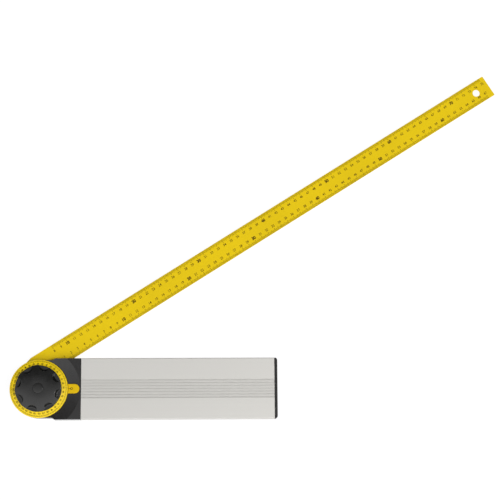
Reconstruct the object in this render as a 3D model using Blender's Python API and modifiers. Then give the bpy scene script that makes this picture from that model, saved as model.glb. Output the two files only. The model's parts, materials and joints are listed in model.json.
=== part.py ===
"""A folding protractor bevel: a broad aluminium stock, a plastic head with a dial and a clamping knob,
and a long rule that turns on the head and folds into a slot in the stock's edge.

The pivot axis is Z through the origin. The tool lies on its back on Z = 0, and its stock runs along +X.
"""

import math

import bmesh
import bpy
from mathutils import Matrix

MM = 0.001
GAP = 0.3 * MM  # left between pieces that touch
OVERLAP = 0.1 * MM  # how far a joined solid reaches into the one it joins

# Stock: a hollow extrusion along X
STOCK_WIDTH = 78 * MM
STOCK_THICKNESS = 20 * MM
STOCK_START = 53.7 * MM
STOCK_END = 301.2 * MM
STOCK_WALL = 1.8 * MM
STOCK_CORNER = 1 * MM
SLOT_WIDTH = 3.6 * MM
SLOT_FLOOR = 9.4 * MM
BAND_HALF_WIDTH = 12.3 * MM
BAND_DEPTH = 0.25 * MM
GROOVE_COUNT = 7
GROOVE_PITCH = 3.7 * MM
GROOVE_WIDTH = 0.6 * MM
GROOVE_DEPTH = 0.35 * MM

# End cap: a flange and the plugs behind it
CAP_THICKNESS = 3.6 * MM
CAP_CORNER = 3.2 * MM
CAP_PLUG_LENGTH = 13 * MM
CAP_PLUG_WALL = 2 * MM

# Blade
REST_ANGLE = math.radians(32.3)
BLADE_WIDTH = 30 * MM
BLADE_THICKNESS = 1.5 * MM
BLADE_END = 718.5 * MM
BLADE_INNER_EDGE = 10.6 * MM
BLADE_SHOULDER = 11.5 * MM  # where the outer edge turns in to the round root
BLADE_ROOT_RADIUS = 36 * MM
BLADE_TIP_CORNER = 1 * MM
HANG_HOLE_RADIUS = 4.75 * MM
HANG_HOLE_INSET = 20 * MM

# Head: two shells with a slot between them for the blade
HEAD_ROUND = 36.7 * MM
HEAD_STEP_START = 17 * MM
HEAD_STEP_END = 19.7 * MM
HEAD_SLOT = 3.4 * MM
HEAD_WALL = 2.5 * MM
HEAD_ROOM_LENGTH = 9.9 * MM
HEAD_ROOM_TOP = 16.4 * MM
HEAD_ARM_WALL = 3.6 * MM
BLADE_ROOM = 37.9 * MM  # radius that the blade's root turns in
STOP_ANGLE = math.radians(-65.1)  # where the shells meet again, which stops the blade
DISH_RADIUS = 52.5 * MM
DISH_STEP = 0.5 * MM
DISH_DEPTH = 1.8 * MM
TONGUE_LENGTH = 18 * MM

# Clamp, dial and hub, from the back up
BOLT_RADIUS = 4 * MM
BOLT_HEAD_RADIUS = 10 * MM
BOLT_HEAD_HEIGHT = 3.2 * MM
BOLT_SQUARE = 9 * MM
BOLT_SQUARE_TOP = 6.4 * MM
BOLT_TOP = 28.2 * MM
BOLT_CHAMFER = 0.6 * MM
BOLT_BORE = BOLT_RADIUS + GAP
RECESS_FLOOR = 7 * MM
RECESS_RADIUS = 24.3 * MM
FRICTION_INNER = 18.7 * MM
GLIDE_INNER = 27 * MM
GLIDE_OUTER = 34 * MM
GLIDE_HEIGHT = 1.55 * MM
HUB_SPIGOT_RADIUS = 8 * MM
HUB_SPIGOT_INSET = 0.15 * MM
HUB_FLANGE_RADIUS = 18 * MM
HUB_FLANGE_HEIGHT = 2 * MM
HUB_NECK_RADIUS = 12 * MM
HUB_ROOM_RADIUS = 25.4 * MM
HUB_ROOM_TOP = 15.4 * MM
RIVET_RADIUS = 1.9 * MM
RIVET_HEAD_RADIUS = 3 * MM
RIVET_CIRCLE = 13.5 * MM
RIVET_HEAD_HEIGHT = 1.3 * MM
RIVET_CHAMFER = 0.5 * MM
DIAL_RADIUS = 37.1 * MM
DIAL_TOP = 22.6 * MM
DIAL_FALL = 0.7 * MM  # the face slopes outward by this much
DIAL_EDGE_ROUND = 1.6 * MM
DIAL_WEB_TOP = 20.7 * MM
DIAL_LIP_OUTER = 30.7 * MM
DIAL_LIP_INNER = 29.1 * MM
DIAL_LIP_HEIGHT = 0.5 * MM
DIAL_SCREW_CIRCLE = 8.2 * MM
DIAL_SCREW_INSET = 0.2 * MM
WASHER_RADIUS = 16 * MM
WASHER_THICKNESS = 1.4 * MM
TAB_WIDTH = 12 * MM
TAB_END = 51.7 * MM
TAB_TOP = 20.9 * MM
TAB_BOTTOM = 17.7 * MM

# Knob
KNOB_TOP = 31 * MM
KNOB_CROWN = (  # radius, and how far below the top
    (12 * MM, 0),
    (20 * MM, 0.3 * MM),
    (25.5 * MM, 0.8 * MM),
    (28.3 * MM, 1.3 * MM),
    (29.3 * MM, 1.8 * MM),
    (29.6 * MM, 2.5 * MM),
)
KNOB_FOOT_RADIUS = 28.3 * MM
KNOB_ROOM_RADIUS = 25.1 * MM
KNOB_ROOM_EDGE_TOP = 23.3 * MM
KNOB_ROOM_SHOULDER = 18.6 * MM
KNOB_ROOM_SHOULDER_TOP = 25.3 * MM
KNOB_ROOM_TOP = 27.8 * MM
KNOB_HUB_RADIUS = 10.3 * MM
SCALLOP_COUNT = 8
SCALLOP_PHASE = math.radians(30)
SCALLOP_TOP_RADIUS = 6.9 * MM
SCALLOP_FLOOR_RADIUS = 4.2 * MM
SCALLOP_CIRCLE = 28.6 * MM
SCALLOP_FLOOR = 25.4 * MM
INSERT_RADIUS = 6.6 * MM
INSERT_TOP = 28.4 * MM
KNOB_CAP_RADIUS = 6.4 * MM
KNOB_CAP_BOTTOM = 30.2 * MM
KNOB_CAP_RISE = 0.1 * MM
KNOB_CAP_CHAMFER = 0.3 * MM

# Screws
SCREW_RADIUS = 1.5 * MM
SCREW_HEAD_RADIUS = 2.9 * MM
SCREW_HOLE = SCREW_RADIUS + GAP
SCREW_TIP = 15.9 * MM
SHELL_SCREWS = ((46 * MM, -30.5 * MM), (46.5 * MM, 2 * MM))
SHELL_SCREW_HEAD = (0.9 * MM, 2.6 * MM)
SHELL_SCREW_SOCKET = 1.9 * MM
STOCK_SCREWS = ((64 * MM, -30 * MM), (64 * MM, -1 * MM))
STOCK_SCREW_HEAD = (0.1 * MM, 1.5 * MM)
STOCK_SCREW_SOCKET = 1 * MM
SOCKET_RADIUS = 1.3 * MM
DIAL_SCREW_SOCKET = 0.8 * MM

DISH_STEPS = 96
DIAL_STEPS = 72
ROUND_STEPS = 64
RING_STEPS = 48
BORE_STEPS = 40
BOLT_STEPS = 32
SMALL_STEPS = 20
HEX = 6
MERGE = 0.001 * MM  # points closer than this are one point

# Worked out from the dimensions above
HALF_WIDTH = STOCK_WIDTH / 2
MIDDLE = STOCK_THICKNESS / 2
BLADE_BOTTOM = MIDDLE - BLADE_THICKNESS / 2
BLADE_TOP = MIDDLE + BLADE_THICKNESS / 2
BLADE_OUTER_EDGE = BLADE_INNER_EDGE + BLADE_WIDTH
SLOT_BOTTOM = MIDDLE - HEAD_SLOT / 2
SLOT_TOP = MIDDLE + HEAD_SLOT / 2
HEAD_END = STOCK_START - GAP
DISH_FLOOR = STOCK_THICKNESS - DISH_DEPTH
DIAL_BOTTOM = DISH_FLOOR + GAP
FLANGE_BOTTOM = BLADE_TOP + GAP
FLANGE_TOP = FLANGE_BOTTOM + HUB_FLANGE_HEIGHT
DIAL_SCREW_HEAD = 1.1 * MM
KNOB_BOTTOM = DIAL_WEB_TOP + GAP
WASHER_TOP = KNOB_BOTTOM + WASHER_THICKNESS

PARTS = "protractor_bevel"
CUTTERS = "cutters"
MATERIALS = {
    "anodised_aluminium": ((0.72, 0.70, 0.68), 0.38, 1.0),
    "black_plastic": ((0.035, 0.035, 0.037), 0.5, 0.0),
    "knob_plastic": ((0.04, 0.04, 0.043), 0.6, 0.0),
    "yellow_lacquer": ((0.80, 0.62, 0.01), 0.35, 0.0),
    "yellow_plastic": ((0.83, 0.63, 0.01), 0.4, 0.0),
    "zinc_steel": ((0.60, 0.61, 0.63), 0.3, 1.0),
    "brass": ((0.72, 0.52, 0.22), 0.3, 1.0),
    "friction_fibre": ((0.13, 0.09, 0.07), 0.8, 0.0),
    "white_nylon": ((0.80, 0.79, 0.74), 0.5, 0.0),
}


def clear_scene():
    for obj in list(bpy.data.objects):
        bpy.data.objects.remove(obj, do_unlink=True)
    for name in (PARTS, CUTTERS):
        bpy.context.scene.collection.children.link(bpy.data.collections.new(name))


def material(name):
    made = bpy.data.materials.get(name)
    if made:
        return made
    color, roughness, metallic = MATERIALS[name]
    made = bpy.data.materials.new(name)
    made.use_nodes = True
    shader = made.node_tree.nodes["Principled BSDF"]
    shader.inputs["Base Color"].default_value = (*color, 1)
    shader.inputs["Roughness"].default_value = roughness
    shader.inputs["Metallic"].default_value = metallic
    made.diffuse_color = (*color, 1)
    return made


def empty(name):
    """An empty on the pivot axis, which carries what turns there."""
    made = bpy.data.objects.new(name, None)
    bpy.data.collections[PARTS].objects.link(made)
    return made


def add(name, mesh, finish=None, parent=None):
    """A new object: a part when it has a finish, else a hidden cutter."""
    obj = bpy.data.objects.new(name, mesh)
    obj.parent = parent
    if finish:
        mesh.materials.append(material(finish))
        bpy.data.collections[PARTS].objects.link(obj)
    else:
        obj.hide_render = True
        obj.display_type = "WIRE"
        bpy.data.collections[CUTTERS].objects.link(obj)
    return obj


def solid_mesh(guide):
    """The closed mesh that a guide object makes, with its transform applied. The guide is removed."""
    bpy.context.view_layer.update()
    evaluated = guide.evaluated_get(bpy.context.evaluated_depsgraph_get())
    mesh = bpy.data.meshes.new_from_object(evaluated)
    mesh.transform(guide.matrix_world)
    name = guide.name
    bpy.data.objects.remove(guide)
    bm = bmesh.new()
    bm.from_mesh(mesh)
    bmesh.ops.remove_doubles(bm, verts=bm.verts, dist=MERGE)
    bmesh.ops.recalc_face_normals(bm, faces=bm.faces)
    bm.to_mesh(mesh)
    bm.free()
    mesh.name = name
    mesh.shade_smooth()
    mesh.set_sharp_from_angle(angle=math.radians(30))
    return mesh


def extruded(name, loops, low, high, along_x=False):
    """The mesh of a flat outline, with holes, extruded from low to high along Z, or along X."""
    curve = bpy.data.curves.new(name, "CURVE")
    curve.dimensions = "2D"
    curve.fill_mode = "BOTH"
    curve.extrude = (high - low) / 2
    for loop in loops:
        spline = curve.splines.new("POLY")
        spline.points.add(len(loop) - 1)
        spline.use_cyclic_u = True
        for point, (x, y) in zip(spline.points, loop):
            point.co = (x, y, 0, 1)
    guide = bpy.data.objects.new(name, curve)
    bpy.context.scene.collection.objects.link(guide)
    middle = (low + high) / 2
    if along_x:
        guide.location.x = middle
        guide.rotation_euler = (math.pi / 2, 0, math.pi / 2)
    else:
        guide.location.z = middle
    return solid_mesh(guide)


def turned(name, profile, steps=ROUND_STEPS):
    """The mesh of a profile turned about Z. Its (radius, height) points run down the outer side."""
    mesh = bpy.data.meshes.new(name)
    bm = bmesh.new()
    points = [bm.verts.new((radius, 0, height)) for radius, height in profile]
    ring = profile[0][0] > 0
    for start, end in zip(points, points[1:] + points[:1] if ring else points[1:]):
        bm.edges.new((start, end))
    bm.to_mesh(mesh)
    bm.free()
    guide = bpy.data.objects.new(name, mesh)
    bpy.context.scene.collection.objects.link(guide)
    screw = guide.modifiers.new("turn", "SCREW")
    screw.steps = steps
    screw.render_steps = steps
    screw.use_merge_vertices = True
    screw.merge_threshold = MERGE
    return solid_mesh(guide)


def box_mesh(name, x, y, z):
    """A box between the two ends given for each axis."""
    mesh = bpy.data.meshes.new(name)
    bm = bmesh.new()
    bmesh.ops.create_cube(bm, size=1)
    for vert in bm.verts:
        vert.co = [(low + high) / 2 + side * (high - low) for side, (low, high) in zip(vert.co, (x, y, z))]
    bm.to_mesh(mesh)
    bm.free()
    return mesh


def rod_mesh(name, low, high, centre=(0, 0), bottom_radius=0.0, top_radius=None, segments=SMALL_STEPS):
    """An upright cylinder or cone."""
    mesh = bpy.data.meshes.new(name)
    bm = bmesh.new()
    top = bottom_radius if top_radius is None else top_radius
    bmesh.ops.create_cone(
        bm, cap_ends=True, segments=segments, radius1=bottom_radius, radius2=top, depth=high - low
    )
    bmesh.ops.translate(bm, verts=bm.verts, vec=(*centre, (low + high) / 2))
    bm.to_mesh(mesh)
    bm.free()
    return mesh


def combine(obj, mesh, operation="DIFFERENCE"):
    """Cuts a mesh from an object, or joins it on."""
    tool = add(mesh.name, mesh, parent=obj.parent)
    modifier = obj.modifiers.new(mesh.name, "BOOLEAN")
    modifier.operation = operation
    modifier.object = tool


def drill(obj, radius, low, high, centre=(0, 0), segments=SMALL_STEPS):
    name = f"{obj.name}_hole_{len(obj.modifiers)}"
    combine(obj, rod_mesh(name, low, high, centre, radius, segments=segments))


def pocket(obj, x, y, z):
    combine(obj, box_mesh(f"{obj.name}_pocket_{len(obj.modifiers)}", x, y, z))


def arc(centre, radius, start, end, count):
    """Points along an arc, both ends included. Angles are in degrees."""
    angles = [math.radians(start + (end - start) * i / (count - 1)) for i in range(count)]
    return [(centre[0] + radius * math.cos(a), centre[1] + radius * math.sin(a)) for a in angles]


def circle(centre, radius, count=SMALL_STEPS):
    return arc(centre, radius, 0, 360, count + 1)[:-1]


def spread(count, radius):
    """Places equally spaced round the pivot axis."""
    return circle((0, 0), radius, count)


def rectangle(x, y):
    return [(x[0], y[0]), (x[1], y[0]), (x[1], y[1]), (x[0], y[1])]


# The stock's section, in Y and Z

LOWER_CHAMBER = (STOCK_WALL - HALF_WIDTH, SLOT_FLOOR - STOCK_WALL)
UPPER_CHAMBER = (SLOT_FLOOR, HALF_WIDTH - STOCK_WALL)
BACK_CHAMBER = (STOCK_WALL, MIDDLE - SLOT_WIDTH / 2 - STOCK_WALL)
FRONT_CHAMBER = (MIDDLE + SLOT_WIDTH / 2 + STOCK_WALL, STOCK_THICKNESS - STOCK_WALL)
FULL_CHAMBER = (STOCK_WALL, STOCK_THICKNESS - STOCK_WALL)


def grooved_band():
    """The front face between the band's edges, from the slotted side down."""
    face = STOCK_THICKNESS
    floor = face - BAND_DEPTH
    points = [(BAND_HALF_WIDTH, face), (BAND_HALF_WIDTH, floor)]
    for i in range(GROOVE_COUNT):
        y = ((GROOVE_COUNT - 1) / 2 - i) * GROOVE_PITCH
        points += [
            (y + GROOVE_WIDTH / 2, floor),
            (y, floor - GROOVE_DEPTH),
            (y - GROOVE_WIDTH / 2, floor),
        ]
    return points + [(-BAND_HALF_WIDTH, floor), (-BAND_HALF_WIDTH, face)]


def stock():
    low, high = MIDDLE - SLOT_WIDTH / 2, MIDDLE + SLOT_WIDTH / 2
    corner = STOCK_CORNER
    outline = arc((HALF_WIDTH - corner, STOCK_THICKNESS - corner), corner, 0, 90, 4)
    outline += grooved_band()
    outline += arc((corner - HALF_WIDTH, STOCK_THICKNESS - corner), corner, 90, 180, 4)
    outline += arc((corner - HALF_WIDTH, corner), corner, 180, 270, 4)
    outline += arc((HALF_WIDTH - corner, corner), corner, 270, 360, 4)
    outline += [(HALF_WIDTH, low), (SLOT_FLOOR, low), (SLOT_FLOOR, high), (HALF_WIDTH, high)]
    chambers = [
        rectangle(LOWER_CHAMBER, FULL_CHAMBER),
        rectangle(UPPER_CHAMBER, BACK_CHAMBER),
        rectangle(UPPER_CHAMBER, FRONT_CHAMBER),
    ]
    mesh = extruded("stock_profile", [outline, *chambers], STOCK_START, STOCK_END, along_x=True)
    profile = add("stock_profile", mesh, "anodised_aluminium")
    for i, place in enumerate(STOCK_SCREWS):
        name = f"stock_profile_countersink_{i}"
        reach = SCREW_HEAD_RADIUS + GAP
        combine(profile, rod_mesh(name, -GAP, STOCK_WALL + GAP, place, reach, SCREW_HOLE))


def plug(y, z, x):
    """A box that fits a chamber of the stock with a gap all round."""
    return x, (y[0] + GAP, y[1] - GAP), (z[0] + GAP, z[1] - GAP)


def end_cap():
    start = STOCK_END + GAP
    end = start + CAP_THICKNESS
    corner = CAP_CORNER
    outline = [(start, -HALF_WIDTH)]
    outline += arc((end - corner, corner - HALF_WIDTH), corner, 270, 360, 6)
    outline += arc((end - corner, HALF_WIDTH - corner), corner, 0, 90, 6)
    outline += [(start, HALF_WIDTH)]
    cap = add("end_cap", extruded("end_cap", [outline], 0, STOCK_THICKNESS), "black_plastic")
    pocket(
        cap,
        (start - GAP, end + GAP),
        (SLOT_FLOOR, HALF_WIDTH + GAP),
        (MIDDLE - SLOT_WIDTH / 2, MIDDLE + SLOT_WIDTH / 2),
    )
    inside = (start - CAP_PLUG_LENGTH, start + CAP_THICKNESS / 2)
    plugs = ((LOWER_CHAMBER, FULL_CHAMBER), (UPPER_CHAMBER, BACK_CHAMBER), (UPPER_CHAMBER, FRONT_CHAMBER))
    for i, (y, z) in enumerate(plugs):
        combine(cap, box_mesh(f"end_cap_plug_{i}", *plug(y, z, inside)), "UNION")
    x, y, z = plug(LOWER_CHAMBER, FULL_CHAMBER, (inside[0] - GAP, start))
    hollow = [(low + CAP_PLUG_WALL, high - CAP_PLUG_WALL) for low, high in (y, z)]
    pocket(cap, x, *hollow)


# Head


def head_outline():
    return [
        (HEAD_END, -HALF_WIDTH),
        (HEAD_END, HALF_WIDTH),
        (HEAD_STEP_END, HALF_WIDTH),
        (HEAD_STEP_START, HEAD_ROUND),
        *arc((0, 0), HEAD_ROUND, 90, 270, 33),
        (HEAD_STEP_START, -HEAD_ROUND),
        (HEAD_STEP_END, -HALF_WIDTH),
    ]


def joint_outline():
    """Where the shells meet, clear of everything that the blade sweeps."""
    start = math.degrees(math.asin(SLOT_FLOOR / BLADE_ROOM))
    return [
        (HEAD_END, -HALF_WIDTH),
        (HEAD_END, SLOT_FLOOR),
        *arc((0, 0), BLADE_ROOM, start, math.degrees(STOP_ANGLE), 15),
        (HEAD_STEP_START, -HEAD_ROUND),
        (HEAD_STEP_END, -HALF_WIDTH),
    ]


def shell(name, face, slot_face, meeting_face):
    """A shell's outer form, which reaches its meeting face only where the shells join."""
    low, high = sorted((face, slot_face))
    made = add(name, extruded(name, [head_outline()], low, high), "black_plastic")
    inward = OVERLAP if face < slot_face else -OVERLAP
    low, high = sorted((face + inward, meeting_face))
    combine(made, extruded(f"{name}_joint", [joint_outline()], low, high), "UNION")
    return made


def tongue(made, y, z, x_end):
    x = (HEAD_END - HEAD_WALL, x_end)
    combine(made, box_mesh(f"{made.name}_tongue_{len(made.modifiers)}", x, y, z), "UNION")


ROOM_X = (HEAD_END - HEAD_WALL - HEAD_ROOM_LENGTH, HEAD_END - HEAD_WALL)
JOINT_ROOM_Y = (-24.5 * MM, -8.5 * MM)
ARM_ROOM_Y = (SLOT_FLOOR + HEAD_ARM_WALL, HALF_WIDTH - HEAD_WALL)
TONGUE_ROOM_Y = (-24 * MM, -7 * MM)
TONGUE_END = STOCK_START + TONGUE_LENGTH


def back_shell():
    meeting = MIDDLE - GAP / 2
    back = shell("head_back_shell", 0, SLOT_BOTTOM, meeting)
    y = (LOWER_CHAMBER[0] + GAP, LOWER_CHAMBER[1] - GAP)
    tongue(back, y, (STOCK_WALL + GAP, meeting), TONGUE_END)
    y = (UPPER_CHAMBER[0] + GAP, UPPER_CHAMBER[1] - GAP)
    tongue(back, y, (BACK_CHAMBER[0] + GAP, BACK_CHAMBER[1] - GAP), TONGUE_END)
    drill(back, BOLT_HEAD_RADIUS + GAP, -GAP, BOLT_HEAD_HEIGHT + GAP, segments=BORE_STEPS)
    half = BOLT_SQUARE / 2 + GAP
    pocket(back, (-half, half), (-half, half), (0, MIDDLE))
    drill(back, RECESS_RADIUS, RECESS_FLOOR, MIDDLE, segments=RING_STEPS)
    room = turned(
        "head_back_shell_room",
        [
            (RECESS_RADIUS + HEAD_WALL, MIDDLE),
            (HEAD_ROUND - HEAD_WALL, MIDDLE),
            (HEAD_ROUND - HEAD_WALL, HEAD_WALL),
            (RECESS_RADIUS + HEAD_WALL, HEAD_WALL),
        ],
        steps=RING_STEPS,
    )
    combine(back, room)
    pocket(back, ROOM_X, JOINT_ROOM_Y, (HEAD_WALL, MIDDLE))
    pocket(back, ROOM_X, ARM_ROOM_Y, (HEAD_WALL, MIDDLE))
    pocket(back, (HEAD_END + GAP, TONGUE_END - HEAD_WALL), TONGUE_ROOM_Y, (2 * HEAD_WALL, MIDDLE))
    for place in SHELL_SCREWS:
        drill(back, SCREW_HEAD_RADIUS + GAP, -GAP, SHELL_SCREW_HEAD[1] + GAP, place)
        drill(back, SCREW_HOLE, GAP, STOCK_THICKNESS / 2 + GAP, place)
    for place in STOCK_SCREWS:
        drill(back, SCREW_HOLE, GAP, STOCK_THICKNESS / 2 + GAP, place)


def stadium(left, right, half_width):
    """A tab's outline: hollow on the left, concentric with the dial, and round on the right."""
    reach = math.degrees(math.asin(half_width / left))
    return [
        *arc((0, 0), left, reach, -reach, 7),
        *arc((right - half_width, 0), half_width, -90, 90, 13),
    ]


def front_shell():
    meeting = MIDDLE + GAP / 2
    front = shell("head_front_shell", STOCK_THICKNESS, SLOT_TOP, meeting)
    y = (LOWER_CHAMBER[0] + GAP, LOWER_CHAMBER[1] - GAP)
    tongue(front, y, (meeting, STOCK_THICKNESS - STOCK_WALL - GAP), TONGUE_END)
    y = (UPPER_CHAMBER[0] + GAP, UPPER_CHAMBER[1] - GAP)
    tongue(front, y, (FRONT_CHAMBER[0] + GAP, FRONT_CHAMBER[1] - GAP), TONGUE_END)
    above = STOCK_THICKNESS + 1 * MM
    dish = turned(
        "head_front_shell_dish",
        [
            (0, above),
            (DISH_RADIUS, above),
            (DISH_RADIUS, STOCK_THICKNESS - DISH_STEP),
            (DIAL_RADIUS + GAP, DISH_FLOOR),
            (0, DISH_FLOOR),
        ],
        steps=DISH_STEPS,
    )
    combine(front, dish)
    drill(front, HUB_ROOM_RADIUS, MIDDLE, HUB_ROOM_TOP, segments=RING_STEPS)
    seat = turned(
        "head_front_shell_seat",
        [
            (GLIDE_INNER - GAP, FLANGE_BOTTOM + GLIDE_HEIGHT + GAP),
            (GLIDE_OUTER + GAP, FLANGE_BOTTOM + GLIDE_HEIGHT + GAP),
            (GLIDE_OUTER + GAP, MIDDLE),
            (GLIDE_INNER - GAP, MIDDLE),
        ],
        steps=RING_STEPS,
    )
    combine(front, seat)
    drill(front, HUB_NECK_RADIUS + GAP + OVERLAP, MIDDLE, above, segments=BORE_STEPS)
    tab_room = stadium(DIAL_RADIUS + GAP / 2, TAB_END + GAP, TAB_WIDTH / 2 + GAP)
    combine(front, extruded("head_front_shell_tab_room", [tab_room], TAB_BOTTOM - GAP, above))
    pocket(front, ROOM_X, JOINT_ROOM_Y, (MIDDLE, HEAD_ROOM_TOP))
    pocket(front, ROOM_X, ARM_ROOM_Y, (MIDDLE, HEAD_ROOM_TOP))
    tongue_room_x = (HEAD_END + GAP, TONGUE_END - HEAD_WALL)
    pocket(front, tongue_room_x, TONGUE_ROOM_Y, (MIDDLE, HEAD_ROOM_TOP - GAP))
    for place in (*SHELL_SCREWS, *STOCK_SCREWS):
        drill(front, SCREW_HOLE, MIDDLE - GAP, SCREW_TIP + GAP, place)


def index_tab():
    outline = stadium(DIAL_RADIUS + GAP + OVERLAP, TAB_END, TAB_WIDTH / 2)
    add("index_tab", extruded("index_tab", [outline], TAB_BOTTOM, TAB_TOP), "yellow_plastic")


def bolt():
    head = [
        (0, BOLT_TOP),
        (BOLT_RADIUS - BOLT_CHAMFER, BOLT_TOP),
        (BOLT_RADIUS, BOLT_TOP - BOLT_CHAMFER),
        (BOLT_RADIUS, BOLT_HEAD_HEIGHT),
        (BOLT_HEAD_RADIUS, BOLT_HEAD_HEIGHT),
        (BOLT_HEAD_RADIUS, 0),
        (0, 0),
    ]
    made = add("clamp_bolt", turned("clamp_bolt", head, steps=BOLT_STEPS), "zinc_steel")
    half = BOLT_SQUARE / 2
    sides = (-half, half)
    square = box_mesh("clamp_bolt_square", sides, sides, (BOLT_HEAD_HEIGHT / 2, BOLT_SQUARE_TOP))
    combine(made, square, "UNION")


def flat_ring(name, inner, outer, low, high, finish, parent=None):
    profile = [(inner, high), (outer, high), (outer, low), (inner, low)]
    return add(name, turned(name, profile, steps=RING_STEPS), finish, parent)


def screw_mesh(name, place, head_low, head_high, tip, taper=False):
    """An upright screw with its socket at the bottom. A tapered head narrows to the shank."""
    shoulder = [] if taper else [(SCREW_HEAD_RADIUS, head_high)]
    profile = [
        (0, tip),
        (SCREW_RADIUS * 0.6, tip),
        (SCREW_RADIUS, tip - SCREW_RADIUS),
        (SCREW_RADIUS, head_high),
        *shoulder,
        (SCREW_HEAD_RADIUS, head_low),
        (0, head_low),
    ]
    mesh = turned(name, profile, steps=SMALL_STEPS)
    mesh.transform(Matrix.Translation((*place, 0)))
    return mesh


def screws():
    for i, place in enumerate(SHELL_SCREWS, 1):
        name = f"shell_screw_{i}"
        made = add(name, screw_mesh(name, place, *SHELL_SCREW_HEAD, SCREW_TIP), "zinc_steel")
        drill(made, SOCKET_RADIUS, 0, SHELL_SCREW_SOCKET, place, segments=HEX)
    for i, place in enumerate(STOCK_SCREWS, 1):
        name = f"stock_screw_{i}"
        mesh = screw_mesh(name, place, *STOCK_SCREW_HEAD, SCREW_TIP, taper=True)
        made = add(name, mesh, "zinc_steel")
        drill(made, SOCKET_RADIUS * 0.8, -GAP, STOCK_SCREW_SOCKET, place, segments=HEX)


# What turns with the blade, drawn with the blade along X


def blade(pivot):
    shoulder = (BLADE_SHOULDER, BLADE_OUTER_EDGE)
    reach = math.hypot(*shoulder)
    tangent = math.degrees(math.atan2(shoulder[1], shoulder[0]) + math.acos(BLADE_ROOT_RADIUS / reach))
    inner = 360 + math.degrees(math.asin(BLADE_INNER_EDGE / BLADE_ROOT_RADIUS))
    corner = BLADE_TIP_CORNER
    tip = BLADE_END - corner
    outline = [
        *arc((tip, BLADE_INNER_EDGE + corner), corner, 270, 360, 4),
        *arc((tip, BLADE_OUTER_EDGE - corner), corner, 0, 90, 4),
        shoulder,
        *arc((0, 0), BLADE_ROOT_RADIUS, tangent, inner, 41),
    ]
    middle = BLADE_INNER_EDGE + BLADE_WIDTH / 2
    holes = [
        circle((BLADE_END - HANG_HOLE_INSET, middle), HANG_HOLE_RADIUS, 32),
        circle((0, 0), HUB_SPIGOT_RADIUS + GAP, 32),
        *[circle(place, RIVET_RADIUS + GAP) for place in spread(3, RIVET_CIRCLE)],
    ]
    add("blade", extruded("blade", [outline, *holes], BLADE_BOTTOM, BLADE_TOP), "yellow_lacquer", pivot)


def hub(pivot):
    spigot_bottom = BLADE_BOTTOM + HUB_SPIGOT_INSET
    profile = [
        (BOLT_BORE, DISH_FLOOR),
        (HUB_NECK_RADIUS, DISH_FLOOR),
        (HUB_NECK_RADIUS, FLANGE_TOP),
        (HUB_FLANGE_RADIUS, FLANGE_TOP),
        (HUB_FLANGE_RADIUS, FLANGE_BOTTOM),
        (HUB_SPIGOT_RADIUS, FLANGE_BOTTOM),
        (HUB_SPIGOT_RADIUS, spigot_bottom),
        (BOLT_BORE, spigot_bottom),
    ]
    made = add("dial_hub", turned("dial_hub", profile, steps=BORE_STEPS), "black_plastic", pivot)
    for place in spread(3, RIVET_CIRCLE):
        drill(made, RIVET_RADIUS + GAP, BLADE_TOP, FLANGE_TOP + GAP, place)
        drill(made, RIVET_HEAD_RADIUS + GAP, FLANGE_TOP - OVERLAP, HUB_ROOM_TOP, place)
    for x, y in spread(3, DIAL_SCREW_CIRCLE):
        drill(made, SCREW_HOLE, FLANGE_TOP + GAP, STOCK_THICKNESS, (-x, -y))


def rivets(pivot):
    low_head = (BLADE_BOTTOM - GAP - RIVET_HEAD_HEIGHT, BLADE_BOTTOM - GAP)
    high_head = (FLANGE_TOP + GAP, FLANGE_TOP + GAP + RIVET_HEAD_HEIGHT)
    for i, place in enumerate(spread(3, RIVET_CIRCLE), 1):
        name = f"hub_rivet_{i}"
        profile = [
            (0, high_head[1]),
            (RIVET_HEAD_RADIUS * 0.7, high_head[1]),
            (RIVET_HEAD_RADIUS, high_head[1] - RIVET_CHAMFER),
            (RIVET_HEAD_RADIUS, high_head[0]),
            (RIVET_RADIUS, high_head[0]),
            (RIVET_RADIUS, low_head[1]),
            (RIVET_HEAD_RADIUS, low_head[1]),
            (RIVET_HEAD_RADIUS, low_head[0]),
            (0, low_head[0]),
        ]
        mesh = turned(name, profile, steps=SMALL_STEPS)
        mesh.transform(Matrix.Translation((*place, 0)))
        add(name, mesh, "zinc_steel", pivot)


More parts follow.
